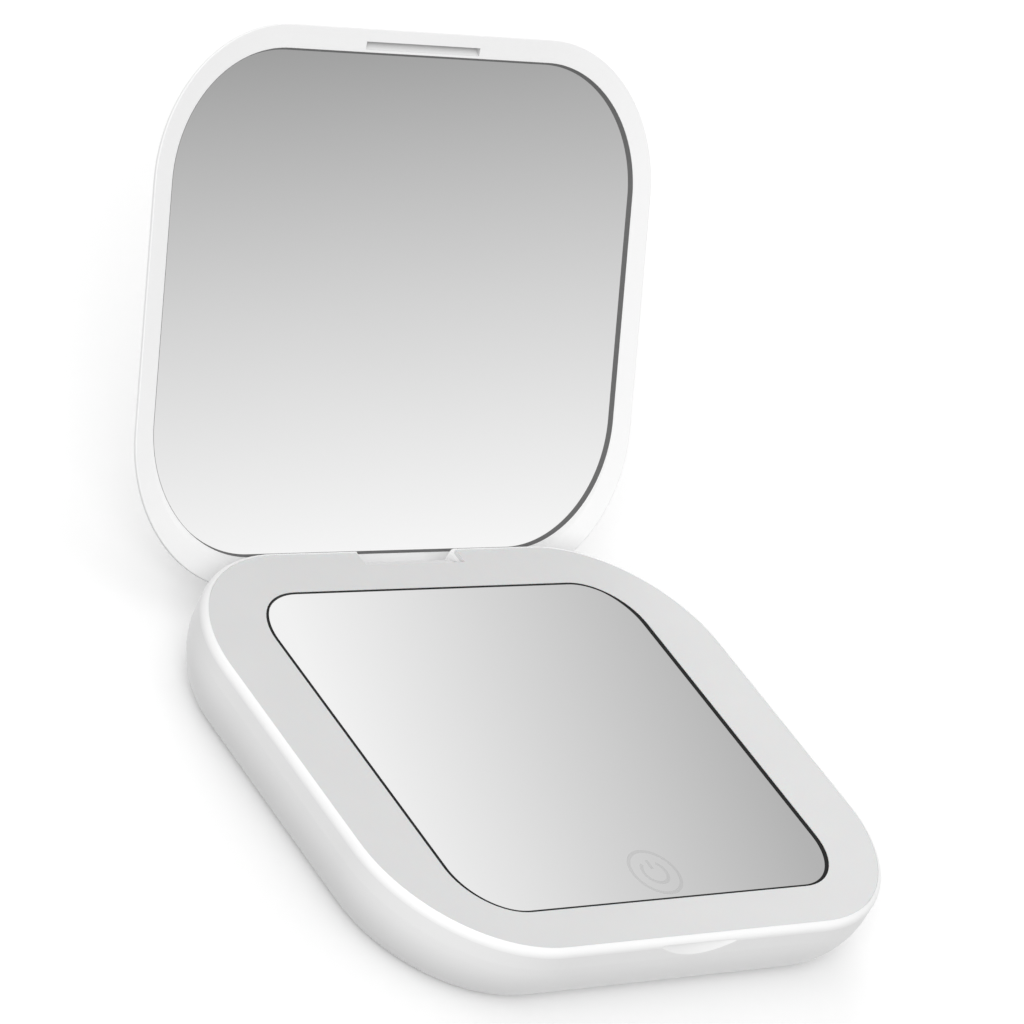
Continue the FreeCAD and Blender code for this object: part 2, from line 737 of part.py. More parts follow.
def make_led_board():
    """Horseshoe board between the bezel's skirt and the tray, open behind at the hinge."""
    body = new_body("led_board")
    rounded_pad(body, *case_size(rebate_inset + D["led_board_gap"]), led_board_z, led_board_top)
    rounded_pocket(body, *opening_size(led_board_edge), led_board_z, led_board_top, y=-opening_shift)
    half = block_half + D["led_board_gap"]
    block(body, "Pocket", (-half, half), (boss_y, half_depth), (led_board_z, led_board_top))
    return body


def make_led_chips():
    """Light sources along the middle of the horseshoe board."""
    outer = rebate_inset + D["led_board_gap"]
    side_x = (half_width - outer + led_board_side) / 2
    front_y = (half_depth - outer + led_board_front) / 2
    rear_y = (half_depth - outer + led_board_rear) / 2
    chips = []
    for share in SIDE_LED_SHARES:
        for side in (-1, 1):
            chips.append(chip(side * side_x, share * half_depth, D["led_width"], D["led_length"]))
    for share in FRONT_LED_SHARES:
        chips.append(chip(share * half_width, -front_y, D["led_length"], D["led_width"]))
    for share in REAR_LED_SHARES:
        chips.append(chip(share * half_width, rear_y, D["led_length"], D["led_width"]))
    return group("led_chips", chips)


def chip(x, y, width, depth):
    """One light source, standing on the light board."""
    return box(x - width / 2, y - depth / 2, led_board_top, width, depth, D["led_height"])


def box(x, y, z, width, depth, height):
    """A plain block with a corner at a place."""
    item = doc.addObject("Part::Box", "block")
    bind(item, Length=width, Width=depth, Height=height)
    bind(item, Placement__Base__x=x, Placement__Base__y=y, Placement__Base__z=z)
    return item


def cylinder(x, y, z, diameter, height):
    """An upright round bar with its foot at a place."""
    item = doc.addObject("Part::Cylinder", "bar")
    bind(item, Radius=diameter / 2, Height=height)
    bind(item, Placement__Base__x=x, Placement__Base__y=y, Placement__Base__z=z)
    return item


def group(label, items):
    """Separate solids that share a node."""
    compound = doc.addObject("Part::Compound", label)
    compound.Label = label
    compound.Links = items
    parts.append(compound)
    return compound


def single(label, item):
    """A primitive that is a node by itself."""
    item.Label = label
    parts.append(item)
    return item


def make_control_board():
    """L-shaped board on three bosses, with an arm that reaches the socket."""
    body = new_body("control_board")
    corners = [(board_left, board_front), (board_right, board_front), (board_right, arm_front),
               (arm_end, arm_front), (arm_end, arm_rear), (board_right, arm_rear),
               (board_right, board_rear), (board_left, board_rear)]
    pad(body, draw_polygon(new_sketch(body, "XY_Plane", z=board_z), corners), D["board_thick"])
    hole = D["board_screw_diameter"] + 2 * D["screw_gap"]
    for x, y in board_screw_places():
        round_column(body, "Pocket", hole, x, y, board_z, board_top)
    return body


def make_board_chips():
    """Touch chip, charging chip and coil on the control board."""
    chips = []
    for (x_share, y_share), (width_share, depth_share) in zip(CHIP_PLACE_SHARES, CHIP_SIZE_SHARES):
        x = board_left + x_share * D["board_length"]
        y = board_front + y_share * D["board_depth"]
        width, depth = width_share * D["board_length"], depth_share * D["board_depth"]
        chips.append(box(x, y, board_top, width, depth, D["chip_height"]))
    return group("board_chips", chips)


def make_usb_socket():
    """Charging socket: a flat oval sleeve with a closed back and a tongue in the middle."""
    body = new_body("usb_socket")
    y, z = socket_place()
    mouth = half_width - D["usb_sunk"]
    back = mouth - D["usb_length"]
    outer = new_sketch(body, "YZ_Plane", x=y, y=z, z=back)
    draw_rounded(outer, D["usb_width"], D["usb_height"], SLOT_ROUND_SHARE * D["usb_height"])
    pad(body, outer, D["usb_length"])
    inner_height = D["usb_height"] - 2 * D["usb_wall"]
    inner = new_sketch(body, "YZ_Plane", x=y, y=z, z=back + D["usb_wall"])
    draw_rounded(inner, D["usb_width"] - 2 * D["usb_wall"], inner_height, SLOT_ROUND_SHARE * inner_height)
    pocket(body, inner, D["usb_length"] - D["usb_wall"], reverse=True)
    tongue = new_sketch(body, "YZ_Plane", x=y, y=z, z=back)
    draw_rectangle(tongue, D["usb_tongue_width"], D["usb_tongue"])
    pad(body, tongue, D["usb_length"] - D["usb_sunk"])
    return body


def make_battery():
    """Flat pouch cell with rounded edges."""
    body = new_body("battery")
    block(body, "Pad", (battery_left, battery_right), (battery_front, battery_rear),
          (battery_z, battery_z + D["battery_thick"]))
    round_edges(body, D["battery_round"],
                lambda edge: abs(edge.BoundBox.XLength - D["battery_length"].value) < NEAR)
    return body


def make_battery_tape():
    """Tape between the cell and the floor."""
    inset = D["battery_tape_inset"]
    width, depth = battery_right - battery_left - 2 * inset, battery_rear - battery_front - 2 * inset
    item = box(battery_left + inset, battery_front + inset, D["floor_thick"],
               width, depth, D["battery_tape_thick"])
    return single("battery_tape", item)


def make_lead(label, body, path, start_role, x, y, z):
    """A round wire along a path sketch; its end circle lies on one of the body's planes."""
    end = draw_circle(new_sketch(body, start_role, x=x, y=y, z=z), D["lead_diameter"])
    doc.recompute()
    pipe = body.newObject("PartDesign::AdditivePipe", label)
    pipe.Profile = end
    pipe.Spine = (path, [])
    doc.recompute()
    return pipe


def draw_bend(sketch, start, corner, end, radius):
    """Two straight runs joined by an arc, from a start through a square corner to an end."""
    starts, corners, ends = [FreeCAD.Vector(a.value, b.value, 0) for a, b in (start, corner, end)]
    first_way = (corners - starts).normalize()
    second_way = (ends - corners).normalize()
    leave = corners - first_way * radius.value
    arrive = corners + second_way * radius.value
    middle = corners + (second_way - first_way) * radius.value * (1 - math.sqrt(0.5))
    run_in = add_line(sketch, starts, leave)
    bend = sketch.addGeometry(Part.Arc(leave, middle, arrive), False)
    run_out = add_line(sketch, arrive, ends)
    turns_left = first_way.cross(second_way).z > 0
    near, far = (1, 2) if turns_left else (2, 1)
    join(sketch, "Tangent", run_in, 2, bend, near)
    join(sketch, "Tangent", bend, far, run_out, 1)
    drive(sketch, "DistanceX", "StartX", (-1, 1, run_in, 1), start[0])
    drive(sketch, "DistanceY", "StartY", (-1, 1, run_in, 1), start[1])
    drive(sketch, "DistanceX", "EndX", (-1, 1, run_out, 2), end[0])
    drive(sketch, "DistanceY", "EndY", (-1, 1, run_out, 2), end[1])
    drive(sketch, "Radius", "Bend", (bend,), radius)
    join(sketch, "Horizontal" if abs(first_way.x) > abs(first_way.y) else "Vertical", run_in)
    return sketch


def make_battery_leads():
    """Two wires from the cell's right end round to the control board's arm."""
    wire_z = board_top + D["lead_diameter"] / 2
    for number, label in enumerate(("battery_lead_red", "battery_lead_black")):
        body = new_body(label)
        shift = number * D["lead_spacing"]
        start_y = battery_front + D["lead_inset"] + shift
        corner = (battery_right + D["lead_room"] + shift + D["lead_bend"], start_y)
        path = new_sketch(body, "XY_Plane", z=wire_z)
        end = (corner[0], arm_rear - D["lead_landing"])
        draw_bend(path, (battery_right, start_y), corner, end, D["lead_bend"])
        make_lead("wire", body, path, "YZ_Plane", start_y, wire_z, battery_right)


def make_led_leads():
    """Two wires that drop from the light board and turn in over the control board."""
    body = new_body("led_leads")
    start_y = -(led_board_front + D["lead_diameter"] / 2)
    wire_z = board_top + D["lead_diameter"] / 2
    for number in range(2):
        x = magnet_half + D["led_lead_gap"] + number * D["lead_spacing"]
        path = new_sketch(body, "YZ_Plane", z=x)
        end = (board_front + D["lead_landing"], wire_z)
        draw_bend(path, (start_y, led_board_z), (start_y, wire_z), end, D["led_lead_bend"])
        make_lead("wire", body, path, "XY_Plane", x, start_y, led_board_z)


def make_touch_contact():
    """Foam post from the control board to the back of the glass, under the touch sign."""
    return single("touch_contact",
                  cylinder(ZERO, touch_y, board_top, D["touch_diameter"], mirror_z - board_top))


def make_base_magnet():
    """Bar magnet in the front block, its top level with the block."""
    front, _ = magnet_slot_y()
    half = D["magnet_length"] / 2
    item = box(-half, front + D["magnet_gap"], magnet_z,
               D["magnet_length"], D["magnet_width"], D["magnet_height"])
    return single("base_magnet", item)


def make_hinge_pin():
    """Steel pin through both lugs and the knuckle between them."""
    body = new_body("hinge_pin")
    sketch = draw_circle(new_sketch(body, "YZ_Plane", x=hinge_y, y=hinge_z), 2 * D["pin_radius"])
    pad(body, sketch, 2 * block_half, both_ways=True)
    return body


def screw(x, y, seat, diameter, length, head, head_height):
    """A screw with a flat head that sits on a seat."""
    fuse = doc.addObject("Part::Fuse", "screw")
    fuse.Base = cylinder(x, y, seat - length, diameter, length)
    fuse.Tool = cylinder(x, y, seat, head, head_height)
    return fuse


def make_tray_screws():
    """Four screws through the tray into the bosses, heads level with the tray."""
    screws = []
    for x_share in (-1, 1):
        for y_share in (-1, 1):
            screws.append(screw(x_share * boss_x, y_share * boss_y, screw_seat, D["screw_diameter"],
                                D["screw_length"], D["head_diameter"], D["head_height"]))
    return group("tray_screws", screws)


def make_board_screws():
    """Three small screws that hold the control board."""
    screws = [screw(x, y, board_top, D["board_screw_diameter"], D["board_screw_length"],
                    D["board_head_diameter"], D["board_head_height"]) for x, y in board_screw_places()]
    return group("board_screws", screws)


def draw_crown(body):
    """What the domed back takes off a straight-sided lid: outside of one arc."""
    sketch = new_sketch(body, "XZ_Plane")
    rise = D["lid_thick"].value - D["lid_edge"].value
    radius = D["crown_radius"].value
    inset = math.sqrt(radius ** 2 - (radius - rise) ** 2)
    wall_x, top, over = half_width.value, lid_top.value, D["overrun"].value
    edge_z = lid_z.value + D["lid_edge"].value
    vec = FreeCAD.Vector
    arc = add_arc(sketch, vec(wall_x - inset, top - radius, 0), radius,
                  math.atan2(radius - rise, inset), math.pi / 2)
    up = add_line(sketch, vec(wall_x - inset, top, 0), vec(wall_x - inset, top + over, 0))
    out = add_line(sketch, vec(wall_x - inset, top + over, 0), vec(wall_x + over, top + over, 0))
    down = add_line(sketch, vec(wall_x + over, top + over, 0), vec(wall_x + over, edge_z, 0))
    back = add_line(sketch, vec(wall_x + over, edge_z, 0), vec(wall_x, edge_z, 0))
    join(sketch, "Coincident", arc, 2, up, 1)
    join(sketch, "Coincident", up, 2, out, 1)
    join(sketch, "Coincident", out, 2, down, 1)
    join(sketch, "Coincident", down, 2, back, 1)
    join(sketch, "Coincident", back, 2, arc, 1)
    for line in (up, down):
        join(sketch, "Vertical", line)
    for line in (out, back):
        join(sketch, "Horizontal", line)
    join(sketch, "Vertical", arc, 2, arc, 3)
    drive(sketch, "Radius", "Crown", (arc,), D["crown_radius"])
    drive(sketch, "DistanceX", "Wall", (-1, 1, back, 2), half_width)
    drive(sketch, "DistanceY", "Edge", (-1, 1, back, 2), lid_z + D["lid_edge"])
    drive(sketch, "DistanceY", "Top", (-1, 1, arc, 2), lid_top)
    drive(sketch, "DistanceY", "Above", (up, 1, up, 2), D["overrun"])
    drive(sketch, "DistanceX", "Beyond", (-1, 1, down, 1), half_width + D["overrun"])
    return sketch


def draw_dish(body):
    """What is taken off a flat rim so that it falls towards the mirror."""
    start, inner = half_width - D["lid_round"], half_width - D["lid_rim"]
    past, below = half_width - D["lid_hinge_rim"] - D["overrun"], lid_z - D["overrun"]
    corners = [(start, below), (start, lid_z), (inner, lid_dish_z), (past, lid_dish_z), (past, below)]
    return draw_polygon(new_sketch(body, "XZ_Plane"), corners)


def make_lid_shell():
    """Domed lid with a dished rim, the mirror's recess, a pocket at its free edge and the hinge knuckle."""
    body = new_body("lid_shell")
    rounded_pad(body, *case_size(ZERO), lid_z, lid_top)
    sweep_cut(body, draw_crown(body), lid_z + D["lid_edge"])
    round_edges(body, D["lid_round"], edge_at(lid_z, ZERO))
    sweep_cut(body, draw_dish(body), lid_z)
    rounded_pocket(body, *recess_size(ZERO), lid_z, lid_floor_z, y=recess_shift)
    half = D["magnet_length"] / 2 + D["magnet_gap"]
    magnet_front = -(half_depth - D["lid_magnet_inset"]) - D["magnet_gap"]
    magnet_rear = magnet_front + D["magnet_width"] + 2 * D["magnet_gap"]
    block(body, "Pocket", (-half, half), (magnet_front, magnet_rear),
          (lid_floor_z, lid_floor_z + D["lid_magnet_height"]))
    cut_pull(body)
    add_knuckle(body)
    on_lid(body)
    return body


def cut_pull(body):
    """A wedge-floored pocket in the rim at the free edge, deepest at its outer wall."""
    outer = -(half_depth - D["pull_inset"])
    inner = outer + D["pull_height"]
    sketch = new_sketch(body, "YZ_Plane")
    corners = [(outer, lid_z), (inner, lid_z), (inner, lid_dish_z), (outer, lid_z + D["pull_depth"])]
    draw_polygon(sketch, corners)
    pocket(body, sketch, D["pull_width"], both_ways=True)


def add_knuckle(body):
    """A barrel on the pin and the arm that joins it to the lid's rim."""
    length = D["notch_width"] - 2 * D["hinge_gap"]
    barrel = draw_circle(new_sketch(body, "YZ_Plane", x=hinge_y, y=hinge_z), 2 * D["barrel_radius"])
    arm_front = notch_y + D["hinge_gap"]
    arm_rear = hinge_y + D["barrel_radius"]
    arm = new_sketch(body, "YZ_Plane")
    arm_top = lid_z + D["lid_round"]
    foot = [(arm_front, hinge_z), (arm_rear, hinge_z)]
    draw_polygon(arm, foot + [(arm_rear, arm_top), (arm_front, lid_dish_z)])
    pad(body, arm, length, both_ways=True)
    pad(body, barrel, length, both_ways=True)
    cross_bore(body, 2 * (D["pin_radius"] + D["pin_fit"]), D["notch_width"] / 2)


def make_lid_mirror():
    """Glass plate that lies in the lid's recess."""
    body = new_body("lid_mirror")
    rounded_pad(body, *recess_size(D["lid_mirror_gap"]), lid_glass_z, lid_tape_z, y=recess_shift)
    on_lid(body)
    return body


def make_lid_mirror_tape():
    """Bonding sheet between the glass and the lid."""
    body = new_body("lid_mirror_tape")
    rounded_pad(body, *recess_size(D["tape_inset"]), lid_tape_z, lid_floor_z, y=recess_shift)
    on_lid(body)
    return body


def make_lid_magnet():
    """Bar magnet in the lid, behind the glass, above the base's magnet when closed."""
    body = new_body("lid_magnet")
    half = D["magnet_length"] / 2
    front = -(half_depth - D["lid_magnet_inset"])
    block(body, "Pad", (-half, half), (front, front + D["magnet_width"]),
          (lid_floor_z, lid_floor_z + D["lid_magnet_height"]))
    on_lid(body)
    return body


def main():
    """Builds every piece, checks the document and writes one file for each piece."""
    makers = [make_base_shell, make_rim_bezel, make_light_diffuser, make_base_mirror, make_base_mirror_tape,
              make_mirror_tray, make_led_board, make_led_chips, make_control_board, make_board_chips,
              make_usb_socket, make_battery, make_battery_tape, make_battery_leads, make_led_leads,
              make_touch_contact, make_base_magnet, make_hinge_pin, make_tray_screws, make_board_screws,
              make_lid_shell, make_lid_mirror, make_lid_mirror_tape, make_lid_magnet]
    for make in makers:
        make()
    doc.recompute()
    failed = [item.Label for item in doc.Objects if "Invalid" in item.State or "Error" in item.State]
    failed += [item.Label for item in parts if item.Shape.isNull() or not item.Shape.isValid()]
    if failed:
        raise ValueError(f"these objects failed: {failed}")
    os.makedirs("parts", exist_ok=True)
    for item in parts:
        item.Shape.exportStep(f"parts/{item.Label}.step")
        print(item.Label, len(item.Shape.Solids), round(item.Shape.Volume, 2))


main()
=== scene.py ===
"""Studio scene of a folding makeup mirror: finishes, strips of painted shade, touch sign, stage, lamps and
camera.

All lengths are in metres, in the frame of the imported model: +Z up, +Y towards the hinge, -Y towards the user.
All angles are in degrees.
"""
import json
import math

import bpy
import numpy as np
from mathutils import Matrix, Vector


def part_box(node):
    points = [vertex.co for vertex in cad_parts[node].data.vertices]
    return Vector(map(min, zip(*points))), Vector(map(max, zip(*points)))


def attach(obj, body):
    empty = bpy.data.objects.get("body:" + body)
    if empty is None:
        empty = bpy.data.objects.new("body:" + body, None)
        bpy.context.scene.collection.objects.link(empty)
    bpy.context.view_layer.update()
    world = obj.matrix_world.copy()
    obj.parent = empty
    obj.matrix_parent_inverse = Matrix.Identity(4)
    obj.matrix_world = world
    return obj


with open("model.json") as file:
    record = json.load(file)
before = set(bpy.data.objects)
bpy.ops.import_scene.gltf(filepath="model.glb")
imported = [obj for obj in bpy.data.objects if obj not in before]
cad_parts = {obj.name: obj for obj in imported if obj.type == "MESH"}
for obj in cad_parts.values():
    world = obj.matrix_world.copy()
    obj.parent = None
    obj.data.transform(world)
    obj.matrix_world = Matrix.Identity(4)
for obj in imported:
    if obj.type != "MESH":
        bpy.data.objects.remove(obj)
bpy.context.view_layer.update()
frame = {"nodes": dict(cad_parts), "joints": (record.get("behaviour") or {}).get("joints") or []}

MM = 0.001
UP = (0.0, 0.0, 1.0)
WHITE = (1.0, 1.0, 1.0, 1.0)
BLACK = (0.0, 0.0, 0.0, 1.0)

# Moulded ABS: specular level and least and most roughness from a satin tool, and what a full polish adds
# to the specular level, adds as a coat and takes off the roughness
SATIN_SPECULAR = 0.2
SATIN_ROUGHNESS = (0.45, 0.53)
POLISH_SPECULAR = 0.3
POLISH_COAT = 0.1
POLISH_SMOOTHING = 0.19

# Painted shade in the recesses of the ABS: how near the walls are and how many rays look for them, the shade,
# and the heights between which it grows, from none at the hinge to full towards the lid's free edge
PAINTED_SHADE_REACH = 3 * MM
PAINTED_SHADE_RAYS = 8
PAINTED_RECESS_SHADE = "#A6A6A6"
PAINTED_SHADE_START = 15 * MM
PAINTED_SHADE_FULL = 60 * MM

# Rounded rectangles: steps in each corner
CORNER_STEPS = 45

# Base mirror: its corner, the gap to the light frame, and a black strip of painted shade in the gap, which
# starts at the frame's side of the gap, covers the edge of the glass where it is wider than the gap, and stands
# a little proud; its width on each side follows the shade that side of the gap shows
GLASS_CORNER = 8.65 * MM
GLASS_GAP = 0.35 * MM
SHADE_STRIP_LEFT = 0.6 * MM
SHADE_STRIP_RIGHT = 0.82 * MM
SHADE_STRIP_FRONT = 0.36 * MM
SHADE_STRIP_BACK = 0.09 * MM
SHADE_STRIP_DEPTH = 0.5 * MM
SHADE_STRIP_PROUD = 0.02 * MM

# Lid: outline corner, rim and recess, and the grey bead of painted shade on the recess wall, thin at the rim
# and wide at the glass
CASE_CORNER = 21.5 * MM
LID_GAP = 0.3 * MM
LID_RIM = 3.2 * MM
LID_HINGE_RIM = 4.4 * MM
LID_DISH = 0.5 * MM
LID_RECESS = 0.75 * MM
SHADE_BEAD_THIN = 0.04 * MM
SHADE_BEAD_WIDE = 0.3 * MM
SHADE_BEAD_DROP = 0.05 * MM
SHADE_BEAD_SINK = 0.02 * MM

# Touch sign on the base mirror: its middle, the radii of its ring and arc, the width and thickness of its
# lines, the turns from +X at the arc's ends, the bar's ends as shares of the arc's radius, and the turn
# between points
SIGN_PLACE = (0.5 * MM, -25.7 * MM)
SIGN_RING = 3.85 * MM
SIGN_ARC = 1.95 * MM
SIGN_LINE = 0.55 * MM
SIGN_THICKNESS = 0.003 * MM
SIGN_ARC_ENDS = (128, 412)
SIGN_BAR_ENDS = (0.3, 1.15)
SIGN_STEP = 2.0

# Camera, fitted to the photograph's outlines: its angles, its distance from its target, its focal length in
# pixels of a square image, and the nearest and farthest that it sees
CAMERA_TURN = -51.124
CAMERA_RISE = 29.468
CAMERA_ROLL = 30.093
CAMERA_DISTANCE = 680.66 * MM
CAMERA_TARGET = Vector((-0.167, 24.565, 29.286)) * MM
FOCAL_PIXELS = 5097.2
IMAGE_SIDE = 1024
CAMERA_NEAR = 0.01
CAMERA_FAR = 20.0

# Cards that the mirrors show: distance along the reflected ray, half size, three shades, half the length that
# the shades run over, and how far their direction is turned about the mirror's normal
CARD_DISTANCE = 250 * MM
CARD_HALF = 130 * MM
LID_SHADES = ("#F6F6F6", "#D2D2D2", "#9F9F9F")
LID_SHADE_HALF = 49 * MM
LID_SHADE_TURN = 12.0
BASE_SHADES = ("#F0F0F0", "#D3D3D3", "#B2B2B2")
BASE_SHADE_HALF = 34.6 * MM
BASE_SHADE_TURN = 17.0

# Graded ring round the object, which gives the mirrors something to show from every side
RING_RADIUS = 450 * MM
RING_WALL = 2 * MM
RING_TOP = 600 * MM
RING_STEP = 5.0
RING_SHADES = ("#F1F1F1", "#A6A6A6", "#F1F1F1")

# Papers of the cards and the ring: where the middle shade lies between the others, and the strength of the
# glow, which makes up for what a mirror loses
MIDDLE_SHADE = 0.5
PAPER_GLOW = 1.13

# Floor: half its side, its paper as a light and as it is seen, and the glow that makes it white in full light
FLOOR_HALF = 3.0
FLOOR_LIT = "#888888"
FLOOR_SEEN = "#FAFAFA"
FLOOR_GLOW = 0.09

# Surroundings: their strength as a light and as they are seen
SKY_LIGHT = 0.74
SKY_SEEN = 1.0

# Soft boxes: name, place, side and power in watts
SOFT_BOXES = (("key", (-1.95, -1.7, 1.5), 2.0, 45.0),
              ("back", (1.2, 2.6, 0.4), 1.6, 48.0))


def linear(hex_colour):
    """An sRGB hex colour as linear red, green, blue and full alpha."""
    parts = [int(hex_colour[i:i + 2], 16) / 255 for i in (1, 3, 5)]
    return tuple(c / 12.92 if c <= 0.04045 else ((c + 0.055) / 1.055) ** 2.4 for c in parts) + (1.0,)


def per_metre(size_mm):
    """How many lumps of a size in millimetres fit in a metre: a pattern's scale on Object coordinates."""
    return 1 / (size_mm * MM)


def start_finish(name, **values):
    """A material and its Principled shader's sockets; the values are the same all over the surface."""
    finish = bpy.data.materials.new(name)
    finish.use_nodes = True
    surface = finish.node_tree.nodes["Principled BSDF"].inputs
    for socket, value in values.items():
        surface[socket.replace("_", " ")].default_value = value
    return finish, surface


def add(owner, kind, feeds=None, drives=None, **settings):
    """Adds a node: feeds maps its sockets to other nodes' outputs, and drives maps its outputs to their
    sockets. A setting with a capital is a socket's value, and any other is a property of the node."""
    tree = owner.node_tree
    node = tree.nodes.new(kind)
    for key, value in settings.items():
        if key[0].isupper():
            node.inputs[key.replace("_", " ")].default_value = value
        else:
            setattr(node, key, value)
    for socket, output in (feeds or {}).items():
        tree.links.new(output, node.inputs[socket])
    for output, socket in (drives or {}).items():
        tree.links.new(node.outputs[output], socket)
    return node


def moulded_abs(name, shade, light, polish):
    """White ABS from a tool whose polish runs from 0, satin, to 1, glossy. Its pigment drifts over 14 mm.
    Shrinkage leaves waves 6 mm long and a few microns high, and handling leaves a haze of 3 mm patches.
    Recesses get painted shade, a darker base colour where walls are near, which grows from the hinge towards
    the lid's free edge."""
    specular, smoothing = SATIN_SPECULAR + POLISH_SPECULAR * polish, POLISH_SMOOTHING * polish
    finish, surface = start_finish(name, IOR=1.54, Specular_IOR_Level=specular,
                                   Coat_Weight=POLISH_COAT * polish, Coat_Roughness=0.08)
    place = add(finish, "ShaderNodeTexCoord").outputs["Object"]
    tint = add(finish, "ShaderNodeTexNoise", {"Vector": place}, Scale=per_metre(14.0), Detail=2.0)
    clean = add(finish, "ShaderNodeMixRGB", {"Fac": tint.outputs["Fac"]},
                Color1=linear(shade), Color2=linear(light))
    # Painted shade: the base colour darkens in recesses found by an occlusion node, more so higher up the lid
    height = add(finish, "ShaderNodeSeparateXYZ", {"Vector": place}).outputs["Z"]
    shade_growth = add(finish, "ShaderNodeMapRange", {"Value": height},
                  From_Min=PAINTED_SHADE_START, From_Max=PAINTED_SHADE_FULL)
    dull = add(finish, "ShaderNodeMixRGB", {"Fac": shade_growth.outputs["Result"]},
               Color1=linear(shade), Color2=linear(PAINTED_RECESS_SHADE))
    reach = add(finish, "ShaderNodeAmbientOcclusion", samples=PAINTED_SHADE_RAYS, only_local=True,
                Distance=PAINTED_SHADE_REACH)
    add(finish, "ShaderNodeMixRGB",
        {"Fac": reach.outputs["AO"], "Color1": dull.outputs["Color"], "Color2": clean.outputs["Color"]},
        {"Color": surface["Base Color"]})
    haze = add(finish, "ShaderNodeTexNoise", {"Vector": place}, Scale=per_metre(3.0), Detail=4.0)
    add(finish, "ShaderNodeMapRange", {"Value": haze.outputs["Fac"]}, {"Result": surface["Roughness"]},
        To_Min=SATIN_ROUGHNESS[0] - smoothing, To_Max=SATIN_ROUGHNESS[1] - smoothing)
    waves = add(finish, "ShaderNodeTexNoise", {"Vector": place}, Scale=per_metre(6.0), Detail=1.0)
    add(finish, "ShaderNodeBump", {"Height": waves.outputs["Fac"]}, {"Normal": surface["Normal"]},
        Distance=0.004 * MM)
    return finish


def frosted_acrylic():
    """Milky acrylic, sand-blasted on top: pale grey in faint clouds of 9 mm, with no mirror image, slightly
    deep. The real grit is 0.05 mm and too fine to show, so it is drawn at 0.4 mm."""
    finish, surface = start_finish("acrylic_sand_blasted", IOR=1.49, Specular_IOR_Level=0.3,
                                   Subsurface_Weight=0.08, Subsurface_Scale=1.5 * MM)
    place = add(finish, "ShaderNodeTexCoord").outputs["Object"]
    cloud = add(finish, "ShaderNodeTexNoise", {"Vector": place}, Scale=per_metre(9.0), Detail=2.0)
    add(finish, "ShaderNodeMixRGB", {"Fac": cloud.outputs["Fac"]}, {"Color": surface["Base Color"]},
        Color1=linear("#DADADA"), Color2=linear("#DEDEDE"))
    grit = add(finish, "ShaderNodeTexNoise", {"Vector": place}, Scale=per_metre(0.4), Detail=3.0)
    add(finish, "ShaderNodeMapRange", {"Value": grit.outputs["Fac"]}, {"Result": surface["Roughness"]},
        To_Min=0.55, To_Max=0.7)
    add(finish, "ShaderNodeBump", {"Height": grit.outputs["Fac"]}, {"Normal": surface["Normal"]},
        Distance=0.002 * MM)
    return finish


def silvered_glass(name):
    """Float glass silvered behind: a true mirror with a breath of haze that drifts over 30 mm."""
    finish, surface = start_finish(name, Metallic=1.0)
    place = add(finish, "ShaderNodeTexCoord").outputs["Object"]
    drift = add(finish, "ShaderNodeTexNoise", {"Vector": place}, Scale=per_metre(30.0), Detail=1.0)
    add(finish, "ShaderNodeMixRGB", {"Fac": drift.outputs["Fac"]}, {"Color": surface["Base Color"]},
        Color1=linear("#F2F2F2"), Color2=linear("#F4F4F4"))
    add(finish, "ShaderNodeMapRange", {"Value": drift.outputs["Fac"]}, {"Result": surface["Roughness"]},
        To_Min=0.01, To_Max=0.03)
    return finish


def etched_silver():
    """Silvering etched away in a fine grain of 0.1 mm: it mirrors the room as the glass does, but dimmer and
    blurred, so the sign shows as a faint grey line."""
    finish, surface = start_finish("glass_etched_silvering", Metallic=1.0)
    place = add(finish, "ShaderNodeTexCoord").outputs["Object"]
    grain = add(finish, "ShaderNodeTexNoise", {"Vector": place}, Scale=per_metre(0.1), Detail=2.0)
    add(finish, "ShaderNodeMixRGB", {"Fac": grain.outputs["Fac"]}, {"Color": surface["Base Color"]},
        Color1=linear("#E1E1E1"), Color2=linear("#E7E7E7"))
    add(finish, "ShaderNodeMapRange", {"Value": grain.outputs["Fac"]}, {"Result": surface["Roughness"]},
        To_Min=0.15, To_Max=0.25)
    return finish


def extruded_rubber(name, shade, light):
    """Rubber from an extruder, as a strip or as a lead's sheath: dull all over, with a grain of 0.3 mm."""
    finish, surface = start_finish(name, IOR=1.52, Specular_IOR_Level=0.25)
    place = add(finish, "ShaderNodeTexCoord").outputs["Object"]
    grain = add(finish, "ShaderNodeTexNoise", {"Vector": place}, Scale=per_metre(0.3), Detail=3.0)
    add(finish, "ShaderNodeMixRGB", {"Fac": grain.outputs["Fac"]}, {"Color": surface["Base Color"]},
        Color1=linear(shade), Color2=linear(light))
    add(finish, "ShaderNodeMapRange", {"Value": grain.outputs["Fac"]}, {"Result": surface["Roughness"]},
        To_Min=0.6, To_Max=0.75)
    add(finish, "ShaderNodeBump", {"Height": grain.outputs["Fac"]}, {"Normal": surface["Normal"]},
        Distance=0.005 * MM)
    return finish


def cut_foam(name, shade, light, cell_mm):
    """Foam cut from a sheet: open cells on every face, so it is dull and speckled."""
    finish, surface = start_finish(name, IOR=1.5, Specular_IOR_Level=0.2)
    place = add(finish, "ShaderNodeTexCoord").outputs["Object"]
    cells = add(finish, "ShaderNodeTexVoronoi", {"Vector": place}, Scale=per_metre(cell_mm))
    add(finish, "ShaderNodeMixRGB", {"Fac": cells.outputs["Distance"]}, {"Color": surface["Base Color"]},
        Color1=linear(shade), Color2=linear(light))
    add(finish, "ShaderNodeMapRange", {"Value": cells.outputs["Distance"]}, {"Result": surface["Roughness"]},
        To_Min=0.75, To_Max=0.9)
    add(finish, "ShaderNodeBump", {"Height": cells.outputs["Distance"]}, {"Normal": surface["Normal"]},
        Distance=0.05 * MM)
    return finish


